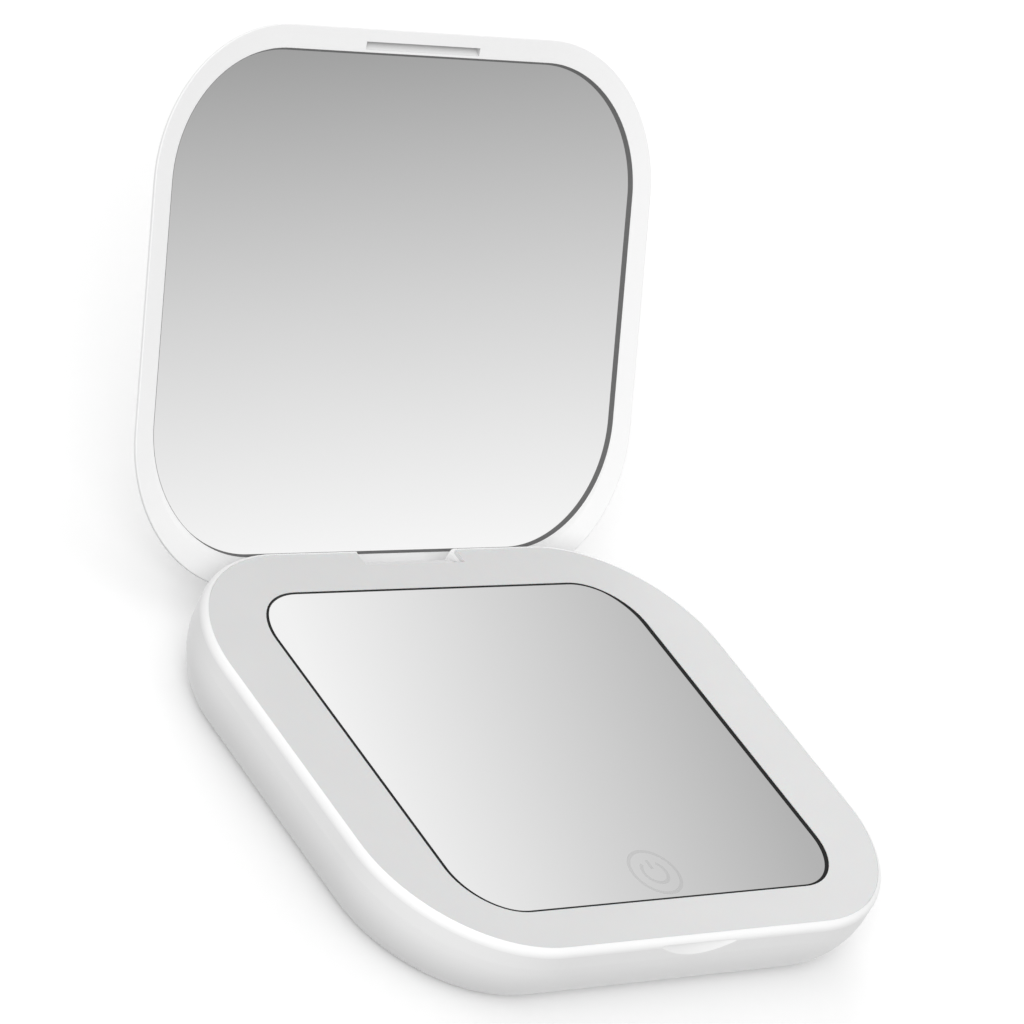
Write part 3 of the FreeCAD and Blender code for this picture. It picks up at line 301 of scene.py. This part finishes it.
def spark_textured_abs():
    """Black ABS from a spark-eroded tool: an even pebble of 0.5 mm that scatters its sheen."""
    finish, surface = start_finish("abs_spark_textured", IOR=1.54)
    place = add(finish, "ShaderNodeTexCoord").outputs["Object"]
    pebble = add(finish, "ShaderNodeTexNoise", {"Vector": place}, Scale=per_metre(0.5), Detail=4.0)
    add(finish, "ShaderNodeMixRGB", {"Fac": pebble.outputs["Fac"]}, {"Color": surface["Base Color"]},
        Color1=linear("#181818"), Color2=linear("#242424"))
    add(finish, "ShaderNodeMapRange", {"Value": pebble.outputs["Fac"]}, {"Result": surface["Roughness"]},
        To_Min=0.5, To_Max=0.65)
    add(finish, "ShaderNodeBump", {"Height": pebble.outputs["Fac"]}, {"Normal": surface["Normal"]},
        Distance=0.01 * MM)
    return finish


def masked_board(name, shade, light):
    """Woven glass board under solder mask: the 1 mm weave shows through the lacquer as small squares, and the
    lacquer's thickness drifts, which dulls it in patches of 4 mm."""
    finish, surface = start_finish(name, IOR=1.55, Coat_Weight=0.3, Coat_Roughness=0.2)
    place = add(finish, "ShaderNodeTexCoord").outputs["Object"]
    add(finish, "ShaderNodeTexChecker", {"Vector": place}, {"Color": surface["Base Color"]},
        Scale=per_metre(1.0), Color1=linear(shade), Color2=linear(light))
    patches = add(finish, "ShaderNodeTexNoise", {"Vector": place}, Scale=per_metre(4.0), Detail=3.0)
    add(finish, "ShaderNodeMapRange", {"Value": patches.outputs["Fac"]}, {"Result": surface["Roughness"]},
        To_Min=0.35, To_Max=0.5)
    return finish


def phosphor_gel():
    """Silicone gel loaded with phosphor over a light source: dull yellow with settled grains of 0.2 mm."""
    finish, surface = start_finish("silicone_phosphor_gel", IOR=1.43)
    place = add(finish, "ShaderNodeTexCoord").outputs["Object"]
    grains = add(finish, "ShaderNodeTexNoise", {"Vector": place}, Scale=per_metre(0.2), Detail=3.0)
    add(finish, "ShaderNodeMixRGB", {"Fac": grains.outputs["Fac"]}, {"Color": surface["Base Color"]},
        Color1=linear("#E0C150"), Color2=linear("#F2DB7C"))
    add(finish, "ShaderNodeMapRange", {"Value": grains.outputs["Fac"]}, {"Result": surface["Roughness"]},
        To_Min=0.3, To_Max=0.45)
    return finish


def moulded_epoxy():
    """Chip packages pressed from filled epoxy: near black, with a mould grain of 0.25 mm."""
    finish, surface = start_finish("epoxy_pressed", IOR=1.55)
    place = add(finish, "ShaderNodeTexCoord").outputs["Object"]
    grain = add(finish, "ShaderNodeTexNoise", {"Vector": place}, Scale=per_metre(0.25), Detail=4.0)
    add(finish, "ShaderNodeMixRGB", {"Fac": grain.outputs["Fac"]}, {"Color": surface["Base Color"]},
        Color1=linear("#17171A"), Color2=linear("#252528"))
    add(finish, "ShaderNodeMapRange", {"Value": grain.outputs["Fac"]}, {"Result": surface["Roughness"]},
        To_Min=0.5, To_Max=0.65)
    add(finish, "ShaderNodeBump", {"Height": grain.outputs["Fac"]}, {"Normal": surface["Normal"]},
        Distance=0.004 * MM)
    return finish


def plated_steel(name, shade, light, roughness):
    """Drawn, stamped or pressed metal with a thin plating: bright, with lines along X, 8 mm long and 0.2 mm
    apart."""
    finish, surface = start_finish(name, Metallic=1.0)
    place = add(finish, "ShaderNodeTexCoord").outputs["Object"]
    along = add(finish, "ShaderNodeMapping", {"Vector": place},
                Scale=(per_metre(8.0), per_metre(0.2), per_metre(0.2)))
    lines = add(finish, "ShaderNodeTexNoise", {"Vector": along.outputs["Vector"]}, Scale=1.0, Detail=3.0)
    add(finish, "ShaderNodeMixRGB", {"Fac": lines.outputs["Fac"]}, {"Color": surface["Base Color"]},
        Color1=linear(shade), Color2=linear(light))
    add(finish, "ShaderNodeMapRange", {"Value": lines.outputs["Fac"]}, {"Result": surface["Roughness"]},
        To_Min=roughness[0], To_Max=roughness[1])
    add(finish, "ShaderNodeBump", {"Height": lines.outputs["Fac"]}, {"Normal": surface["Normal"]},
        Distance=0.002 * MM)
    return finish


def pouch_laminate():
    """Aluminium foil laminated in nylon and pressed over the cell: satin grey with soft dents of 5 mm."""
    finish, surface = start_finish("aluminium_laminate", Metallic=1.0, Coat_Weight=0.2, Coat_Roughness=0.25)
    place = add(finish, "ShaderNodeTexCoord").outputs["Object"]
    dents = add(finish, "ShaderNodeTexNoise", {"Vector": place}, Scale=per_metre(5.0), Detail=2.0)
    add(finish, "ShaderNodeMixRGB", {"Fac": dents.outputs["Fac"]}, {"Color": surface["Base Color"]},
        Color1=linear("#B3B6BB"), Color2=linear("#C9CCD0"))
    add(finish, "ShaderNodeMapRange", {"Value": dents.outputs["Fac"]}, {"Result": surface["Roughness"]},
        To_Min=0.3, To_Max=0.42)
    add(finish, "ShaderNodeBump", {"Height": dents.outputs["Fac"]}, {"Normal": surface["Normal"]},
        Distance=0.1 * MM)
    return finish


def dress_nodes():
    """Gives every CAD node its finish."""
    tape = cut_foam("polyethylene_foam_cut", "#141414", "#262626", 0.3)
    bright = plated_steel("steel_nickel_plated", "#B4B4B6", "#CFCFD0", (0.18, 0.3))
    dark = plated_steel("steel_black_zinc", "#3A3A3C", "#505052", (0.35, 0.5))
    magnet = plated_steel("neodymium_nickel_plated", "#B9B6AE", "#CDCAC2", (0.15, 0.25))
    finishes = {
        "base_shell": moulded_abs("abs_polished_shell", "#F3F3F3", "#F6F6F6", 1.0),
        "rim_bezel": moulded_abs("abs_polished_bezel", "#FAFAFA", "#FCFCFC", 1.0),
        "light_diffuser": frosted_acrylic(),
        "base_mirror": silvered_glass("glass_silvered_base"),
        "base_mirror_tape": tape,
        "mirror_tray": spark_textured_abs(),
        "led_board": masked_board("board_white_mask", "#DEDDD8", "#E8E7E2"),
        "led_chips": phosphor_gel(),
        "control_board": masked_board("board_green_mask", "#14502A", "#1B6636"),
        "board_chips": moulded_epoxy(),
        "usb_socket": bright,
        "battery": pouch_laminate(),
        "battery_tape": tape,
        "battery_lead_red": extruded_rubber("silicone_lead_red", "#A81712", "#BE2119"),
        "battery_lead_black": extruded_rubber("silicone_lead_black", "#141414", "#202020"),
        "led_leads": extruded_rubber("silicone_lead_white", "#DCDCD8", "#E6E6E2"),
        "touch_contact": cut_foam("polyurethane_foam_conductive", "#444446", "#606062", 0.35),
        "base_magnet": magnet,
        "hinge_pin": bright,
        "tray_screws": dark,
        "board_screws": dark,
        "lid_shell": moulded_abs("abs_satin_lid", "#F2F2F2", "#F5F5F5", 0.0),
        "lid_mirror": silvered_glass("glass_silvered_lid"),
        "lid_mirror_tape": tape,
        "lid_magnet": magnet,
    }
    for name, finish in finishes.items():
        node = frame["nodes"][name]
        node.data.materials.clear()
        node.data.materials.append(finish)


def make_object(name, points, faces, finish):
    """Puts points and faces into a mesh of one finish, in the scene."""
    mesh = bpy.data.meshes.new(name)
    mesh.from_pydata(points, [], faces)
    mesh.materials.append(finish)
    thing = bpy.data.objects.new(name, mesh)
    bpy.context.scene.collection.objects.link(thing)
    return thing


def carried_profile(name, path, side, profile, finish, closed):
    """A solid swept along a level path. Point i, j of the surface is path point i, plus profile offset j
    along the path's sideways direction there, plus profile height j upwards. Offsets may differ from point to
    point. The profile runs anticlockwise for someone who looks along the path, so that faces point outwards.
    A path that is not closed gets a face at each end."""
    offsets = np.broadcast_to(profile[..., 0], (len(path), profile.shape[-2]))
    heights = np.broadcast_to(profile[..., 1], offsets.shape)
    points = path[:, None, :] + side[:, None, :] * offsets[..., None]
    points = points + np.array(UP) * heights[..., None]
    rows, columns = offsets.shape
    index = np.arange(rows * columns).reshape(rows, columns)
    ahead = np.roll(index, -1, axis=0) if closed else index[1:]
    here = index if closed else index[:-1]
    faces = np.stack((here, ahead, np.roll(ahead, -1, axis=1), np.roll(here, -1, axis=1)), axis=-1)
    faces = faces.reshape(-1, 4).tolist()
    if not closed:
        faces += [index[0].tolist(), index[-1, ::-1].tolist()]
    return make_object(name, points.reshape(-1, 3).tolist(), faces, finish)


def level_directions(turns):
    """Level unit vectors at the given turns from +X: the cosine along X and the sine along Y."""
    angle = np.radians(turns)
    return np.stack((np.cos(angle), np.sin(angle), np.zeros_like(angle)), axis=-1)


def rounded_path(half_x, half_y, corner, middle):
    """Points and outward directions round a rounded rectangle. In each quarter the direction turns through a
    right angle, and the point is that corner circle's centre plus the corner radius along the direction; the
    straight sides join one quarter's end to the next one's start."""
    side = level_directions(np.arange(4)[:, None] * 90 + np.linspace(0, 90, CORNER_STEPS + 1))
    signs = np.array(((1, 1), (-1, 1), (-1, -1), (1, -1)))
    centre = np.zeros((4, 1, 3))
    centre[:, 0, :2] = signs * (half_x - corner, half_y - corner)
    points = np.array(middle) + centre + corner * side
    return points.reshape(-1, 3), side.reshape(-1, 3)


def strip_profile(inner_low, inner_high, outer, low, high):
    """A four-sided section between two heights, anticlockwise: its outer side is upright, and its inner side
    runs from one offset at the lower height to another at the upper one."""
    offsets = np.stack(np.broadcast_arrays(inner_low, outer, outer, inner_high), axis=-1)
    heights = np.broadcast_to(np.array((low, low, high, high)), offsets.shape)
    return np.stack((offsets, heights), axis=-1)


def make_base_shade_strip():
    """Black strip of painted shade in the gap round the base mirror. Its width is a mix of the left, right,
    front and back widths by the squares of the outward direction's parts: wide at the sides and thin towards
    the hinge."""
    low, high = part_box("base_mirror")
    middle = ((low.x + high.x) / 2, (low.y + high.y) / 2, high.z)
    half_x, half_y = (high.x - low.x) / 2 + GLASS_GAP, (high.y - low.y) / 2 + GLASS_GAP
    path, side = rounded_path(half_x, half_y, GLASS_CORNER + GLASS_GAP, middle)
    left, front = np.minimum(side[:, :2], 0).T ** 2
    right, back = np.maximum(side[:, :2], 0).T ** 2
    width = SHADE_STRIP_LEFT * left + SHADE_STRIP_RIGHT * right + SHADE_STRIP_FRONT * front + SHADE_STRIP_BACK * back
    profile = strip_profile(-width, -width, np.zeros_like(width), -SHADE_STRIP_DEPTH, SHADE_STRIP_PROUD)
    # Painted shade: the black strip stands for the gap in shade round the glass
    finish = extruded_rubber("shade_strip_black", "#0E0E0E", "#181818")
    seal = carried_profile("base_mirror_shade_strip", path, side, profile, finish, closed=True)
    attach(seal, "base")
    return seal


def make_lid_shade_bead():
    """Grey bead of painted shade in the corner between the wall of the lid's recess and the glass, standing for
    the wall in shade. It is worked out with the lid closed, its glass above its rim, and then turned open about
    the hinge, as the lid's own pieces are."""
    low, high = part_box("base_shell")
    half_x, half_y = (high.x - low.x) / 2 - LID_RIM, (high.y - low.y - LID_RIM - LID_HINGE_RIM) / 2
    middle = (0, (LID_RIM - LID_HINGE_RIM) / 2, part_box("rim_bezel")[1].z + LID_GAP + LID_DISH)
    path, side = rounded_path(half_x, half_y, CASE_CORNER - LID_RIM, middle)
    profile = strip_profile(-SHADE_BEAD_THIN, -SHADE_BEAD_WIDE, 0.0, SHADE_BEAD_DROP, LID_RECESS + SHADE_BEAD_SINK)
    # Painted shade: the grey bead stands for the recess wall in shade
    finish = extruded_rubber("shade_bead_grey", "#626262", "#6E6E6E")
    bead = carried_profile("lid_mirror_shade_bead", path, side, profile, finish, closed=True)
    hinge = frame["joints"][0]
    pivot, axis = Vector(hinge["pos_m"]), Vector(hinge["axis"])
    opening = Matrix.Rotation(math.radians(-hinge["range_deg"][0]), 4, axis)
    bead.data.transform(Matrix.Translation(pivot) @ opening @ Matrix.Translation(-pivot))
    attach(bead, "lid")
    return bead


def make_touch_sign():
    """Touch sign on the base mirror: a ring, an arc that is open towards the hinge, and a bar in its opening.
    Each is a thin line carried along a circle or a straight path."""
    finish = etched_silver()
    centre = np.array((*SIGN_PLACE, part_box("base_mirror")[1].z))
    line = strip_profile(-SIGN_LINE / 2, -SIGN_LINE / 2, SIGN_LINE / 2, 0.0, SIGN_THICKNESS)
    strokes = []
    for name, radius, (start, end), closed in (("touch_sign_ring", SIGN_RING, (0, 360 - SIGN_STEP), True),
                                               ("touch_sign_arc", SIGN_ARC, SIGN_ARC_ENDS, False)):
        side = level_directions(np.arange(start, end + SIGN_STEP / 2, SIGN_STEP))
        strokes.append(carried_profile(name, centre + radius * side, side, line, finish, closed))
    reach = np.outer(SIGN_BAR_ENDS, (0.0, SIGN_ARC, 0.0))
    across = np.array(((1.0, 0.0, 0.0), (1.0, 0.0, 0.0)))
    strokes.append(carried_profile("touch_sign_bar", centre + reach, across, line, finish, closed=False))
    for stroke in strokes:
        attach(stroke, "base")
    return strokes


def flat_plate(name, half, finish):
    """A square plate about the origin, facing up, that belongs to the studio and not to the object."""
    corners = [(-half, -half, 0), (half, -half, 0), (half, half, 0), (-half, half, 0)]
    plate = make_object(name, corners, [(0, 1, 2, 3)], finish)
    return plate


def seen_rays(owner):
    """1 for rays that show a thing to the camera, straight, mirrored or through glass, and 0 for others."""
    rays = add(owner, "ShaderNodeLightPath").outputs
    direct = add(owner, "ShaderNodeMath", {0: rays["Is Camera Ray"], 1: rays["Is Glossy Ray"]},
                 operation="MAXIMUM")
    every = add(owner, "ShaderNodeMath", {0: direct.outputs["Value"], 1: rays["Is Transmission Ray"]},
                operation="MAXIMUM")
    return every.outputs["Value"]


def make_floor():
    """Paper floor that takes the object's shadow: plain white where it is seen in full light, and darker as a
    light, so that it does not brighten the object from below. In the mirrors it is plain white all over."""
    finish, surface = start_finish("paper_white", Roughness=0.9, Specular_IOR_Level=0.0, Emission_Color=WHITE)
    seen = seen_rays(finish)
    mirrored = add(finish, "ShaderNodeLightPath").outputs["Is Glossy Ray"]
    paper = add(finish, "ShaderNodeMixRGB", {"Fac": seen},
                Color1=linear(FLOOR_LIT), Color2=linear(FLOOR_SEEN))
    add(finish, "ShaderNodeMixRGB", {"Fac": mirrored, "Color1": paper.outputs["Color"]},
        {"Color": surface["Base Color"]}, Color2=BLACK)
    glow = add(finish, "ShaderNodeMapRange", {"Value": seen}, To_Max=FLOOR_GLOW)
    add(finish, "ShaderNodeMath", {0: mirrored, 1: glow.outputs["Result"]},
        {"Value": surface["Emission Strength"]}, operation="MAXIMUM")
    flat_plate("floor", FLOOR_HALF, finish)


def make_world():
    """Even white surroundings, dimmer as a light than as what the camera and the mirrors see."""
    world = bpy.data.worlds.new("studio")
    bpy.context.scene.world = world
    world.use_nodes = True
    sky = world.node_tree.nodes["Background"].inputs
    sky["Color"].default_value = WHITE
    add(world, "ShaderNodeMapRange", {"Value": seen_rays(world)}, {"Result": sky["Strength"]},
        To_Min=SKY_LIGHT, To_Max=SKY_SEEN)


def make_lamps():
    """Square soft boxes, each turned to face the object, and without an image in glossy surfaces."""
    for name, place, side, power in SOFT_BOXES:
        data = bpy.data.lights.new(name, "AREA")
        data.size, data.energy = side, power
        lamp = bpy.data.objects.new(name, data)
        lamp.location = place
        lamp.rotation_euler = (-Vector(place)).to_track_quat("-Z", "Y").to_euler()
        lamp.visible_glossy = False
        bpy.context.scene.collection.objects.link(lamp)


def graded_paper(name, axis, start, end, shades):
    """Paper that glows in three shades along an axis, brighter than they are by what a mirror loses."""
    finish, surface = start_finish(name, Base_Color=BLACK, Specular_IOR_Level=0.0,
                                   Emission_Strength=PAPER_GLOW)
    place = add(finish, "ShaderNodeTexCoord").outputs["Object"]
    along = add(finish, "ShaderNodeSeparateXYZ", {"Vector": place}).outputs[axis]
    share = add(finish, "ShaderNodeMapRange", {"Value": along}, From_Min=start, From_Max=end)
    ramp = add(finish, "ShaderNodeValToRGB", {"Fac": share.outputs["Result"]},
               {"Color": surface["Emission Color"]})
    stops = ramp.color_ramp.elements
    stops.new(MIDDLE_SHADE)
    for stop, shade in zip(stops, shades):
        stop.color = linear(shade)
    return finish


def show_in_mirrors_only(thing):
    """Only glossy rays see the thing, so it lights and shades nothing else."""
    for sense in ("camera", "diffuse", "transmission", "shadow", "volume_scatter"):
        setattr(thing, f"visible_{sense}", False)


def make_card(name, centre, normal, along, shades, half_range):
    """A shaded card that a mirror shows to the camera: it stands square across the ray that leaves the camera
    and is turned back at the mirror's middle, and its shades run in the direction along."""
    sight = (centre - bpy.context.scene.camera.matrix_world.translation).normalized()
    ray = sight.reflect(normal)
    axis_y = (along - along.dot(ray) * ray).normalized()
    finish = graded_paper(f"{name}_paper", "Y", -half_range, half_range, shades)
    card = flat_plate(name, CARD_HALF, finish)
    turn = Matrix((axis_y.cross(-ray), axis_y, -ray)).transposed().to_4x4()
    card.matrix_world = Matrix.Translation(centre + CARD_DISTANCE * ray) @ turn
    show_in_mirrors_only(card)


def make_ring():
    """A graded ring round the object: a thin upright wall carried along a circle."""
    side = level_directions(np.arange(0, 360, RING_STEP))
    finish = graded_paper("ring_paper", "Z", 0.0, RING_TOP, RING_SHADES)
    profile = strip_profile(0.0, 0.0, RING_WALL, 0.0, RING_TOP)
    ring = carried_profile("ring", RING_RADIUS * side, side, profile, finish, closed=True)
    show_in_mirrors_only(ring)


def make_cards():
    """One card for each mirror, with its lightest shade where the photograph's mirror is lightest."""
    low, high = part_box("base_mirror")
    middle, normal = Vector(((low.x + high.x) / 2, (low.y + high.y) / 2, high.z)), Vector(UP)
    along = Matrix.Rotation(math.radians(BASE_SHADE_TURN), 3, normal) @ Vector((1, 0, 0))
    make_card("base_card", middle, normal, along, BASE_SHADES, BASE_SHADE_HALF)
    low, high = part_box("lid_mirror")
    turn = math.radians(frame["joints"][0]["range_deg"][0])
    normal = Vector((0, math.sin(turn), -math.cos(turn)))
    from_hinge = Vector((0, -math.cos(turn), -math.sin(turn)))
    along = Matrix.Rotation(math.radians(LID_SHADE_TURN), 3, normal) @ from_hinge
    make_card("lid_card", (low + high) / 2, normal, along, LID_SHADES, LID_SHADE_HALF)


def leave_out_of_mirrors(pieces):
    """Glossy rays pass the pieces by, because the mirrors in the photograph show plain shades only."""
    for piece in pieces:
        piece.visible_glossy = False


def make_camera():
    """Camera of the photograph: turned and raised about its target, then rolled about its own axis."""
    turn, rise, roll = (math.radians(angle) for angle in (CAMERA_TURN, CAMERA_RISE, CAMERA_ROLL))
    back = Vector((math.sin(turn) * math.cos(rise), -math.cos(turn) * math.cos(rise), math.sin(rise)))
    right = Vector((math.cos(turn), math.sin(turn), 0))
    up = back.cross(right)
    axis_x = math.cos(roll) * right + math.sin(roll) * up
    axis_y = math.cos(roll) * up - math.sin(roll) * right
    data = bpy.data.cameras.new("camera")
    data.lens = FOCAL_PIXELS * data.sensor_width / IMAGE_SIDE
    data.clip_start, data.clip_end = CAMERA_NEAR, CAMERA_FAR
    camera = bpy.data.objects.new("camera", data)
    camera.matrix_world = (Matrix.Translation(CAMERA_TARGET + back * CAMERA_DISTANCE)
                           @ Matrix((axis_x, axis_y, back)).transposed().to_4x4())
    bpy.context.scene.collection.objects.link(camera)
    bpy.context.scene.camera = camera
    bpy.context.view_layer.update()


def main():
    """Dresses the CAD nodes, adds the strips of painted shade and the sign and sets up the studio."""
    bpy.context.scene.view_settings.view_transform = "Standard"
    dress_nodes()
    pieces = [make_base_shade_strip(), make_lid_shade_bead(), *make_touch_sign()]
    leave_out_of_mirrors([*frame["nodes"].values(), *pieces])
    make_camera()
    make_floor()
    make_world()
    make_lamps()
    make_cards()
    make_ring()


main()
